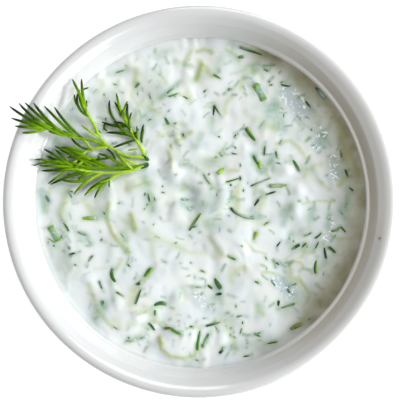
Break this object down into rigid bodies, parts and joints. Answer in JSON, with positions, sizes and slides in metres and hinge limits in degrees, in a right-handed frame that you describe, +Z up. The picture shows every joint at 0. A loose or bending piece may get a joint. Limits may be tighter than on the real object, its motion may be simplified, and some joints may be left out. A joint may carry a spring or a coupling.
{
  "type": "tzatziki dip in a bowl",
  "caption": "Creamy cucumber and herb dip filling a small round white ceramic bowl, with a sprig of dill laid over its rim.",
  "frame": {"origin": "centre of the foot ring's underside, where the bowl stands", "axes": "+Z up along the bowl's axis; the dill sprig leans out over the rim at -X, +Y"},
  "size_m": [0.12, 0.12, 0.0512],
  "materials": {
    "glaze": "gloss",
    "yogurt": "satin",
    "dill": "satin"
  },
  "bodies": {
    "root": {"bowl": "glaze", "dip": "yogurt", "dill_sprig": "dill"}
  },
  "joints": []
}
